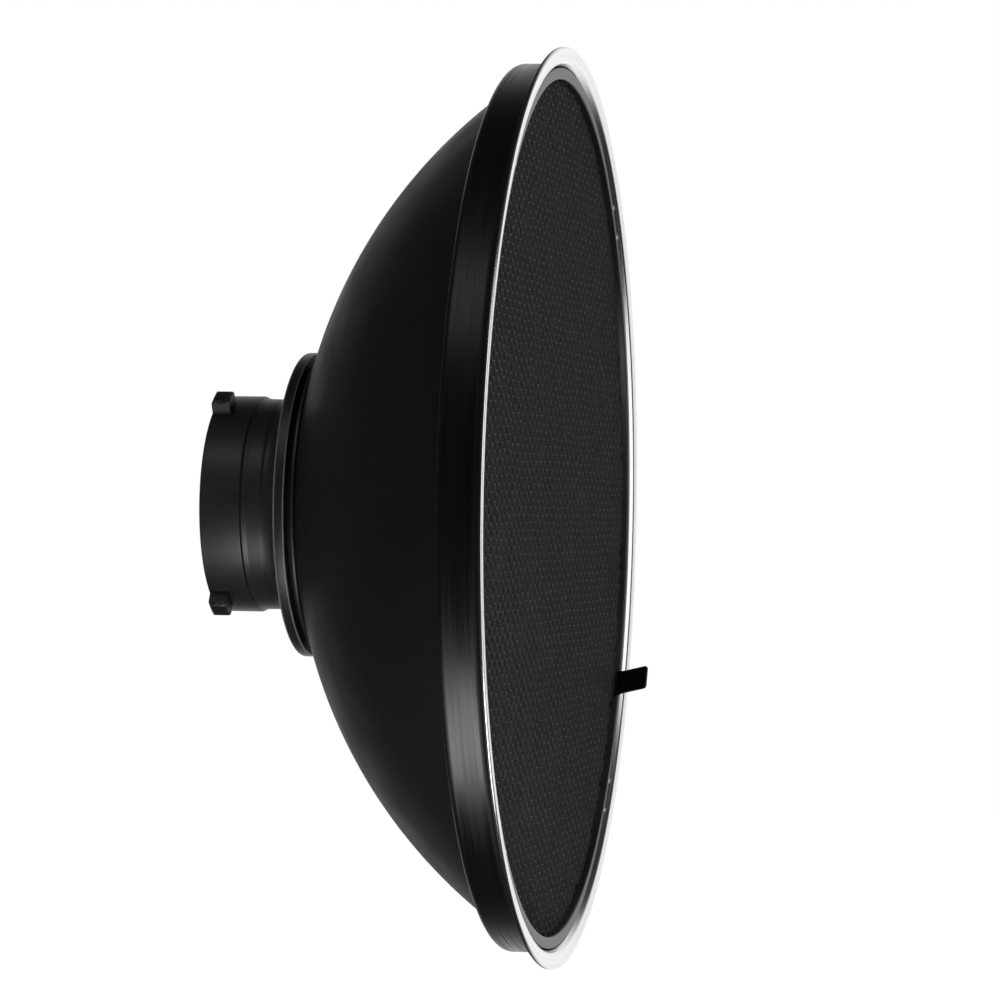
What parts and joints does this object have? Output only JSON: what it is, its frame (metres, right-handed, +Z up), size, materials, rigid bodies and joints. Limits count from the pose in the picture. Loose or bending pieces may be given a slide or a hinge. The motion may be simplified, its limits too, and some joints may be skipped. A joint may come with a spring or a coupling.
{
  "type": "beauty dish reflector",
  "caption": "Wide shallow spun reflector for a studio flash: bayonet mount tube, bowl with a straight band and rolled lip, inner deflector, pull-out honeycomb grid.",
  "frame": {"origin": "centre of the mount tube's rear end, on the optical axis", "axes": "+X along the optical axis towards the open mouth, +Z up, +Y completes a right-handed frame; one bayonet lug points along +Y"},
  "size_m": [0.1742, 0.4199, 0.42],
  "materials": {
    "painted_shell": "semi-matte black baked paint on spun aluminium, lip and inside left bare",
    "bare_aluminium": "spun and satin polished",
    "black_anodised": "turned aluminium, satin black anodised",
    "black_screw": "black oxide steel",
    "zinc_steel": "bright zinc plated",
    "spring_steel": "cold rolled",
    "rivet_aluminium": "drawn, as headed",
    "frame_black": "black anodised aluminium strip",
    "honeycomb_foil": "matt black aluminium foil",
    "nylon": "natural nylon",
    "strap_black": "matt black moulded strap"
  },
  "bodies": {
    "dish": {"reflector_bowl": "painted_shell", "bayonet_tube": "black_anodised", "bayonet_lug_1": "black_anodised", "bayonet_lug_2": "black_anodised", "bayonet_lug_3": "black_anodised", "lug_screws": "black_screw", "neck_collar": "black_anodised", "mount_flange": "black_anodised", "neck_spacer": "black_anodised", "seat_ring": "black_anodised", "clamp_ring": "bare_aluminium", "mount_screws": "black_screw", "mount_washers": "zinc_steel", "mount_nuts": "zinc_steel", "post_screws": "black_screw", "deflector_post_1": "zinc_steel", "deflector_post_2": "zinc_steel", "deflector_post_3": "zinc_steel", "deflector_disc": "bare_aluminium", "deflector_washers": "nylon", "deflector_thumb_nuts": "zinc_steel"},
    "grid": {"grid_frame": "frame_black", "frame_splice": "frame_black", "splice_rivets": "rivet_aluminium", "honeycomb_core": "honeycomb_foil", "core_retaining_ring": "frame_black", "grid_clip_1": "spring_steel", "grid_clip_2": "spring_steel", "grid_clip_3": "spring_steel", "grid_clip_4": "spring_steel", "clip_rivets": "rivet_aluminium", "tab_anchor": "strap_black", "tab_rivets": "rivet_aluminium"},
    "tab": {"pull_tab": "strap_black"}
  },
  "joints": [
    {"name": "grid_slide", "type": "slide", "parent": "dish", "child": "grid", "axis": [1, 0, 0], "range_m": [0, 0.06]},
    {"name": "tab_fold", "type": "hinge", "parent": "grid", "child": "tab", "pos_m": [0.1572, 0.17369, -0.08698], "axis": [0, -0.4478, -0.8942], "range_deg": [-35, 51], "stiffness_Nm_per_rad": 0.01}
  ]
}
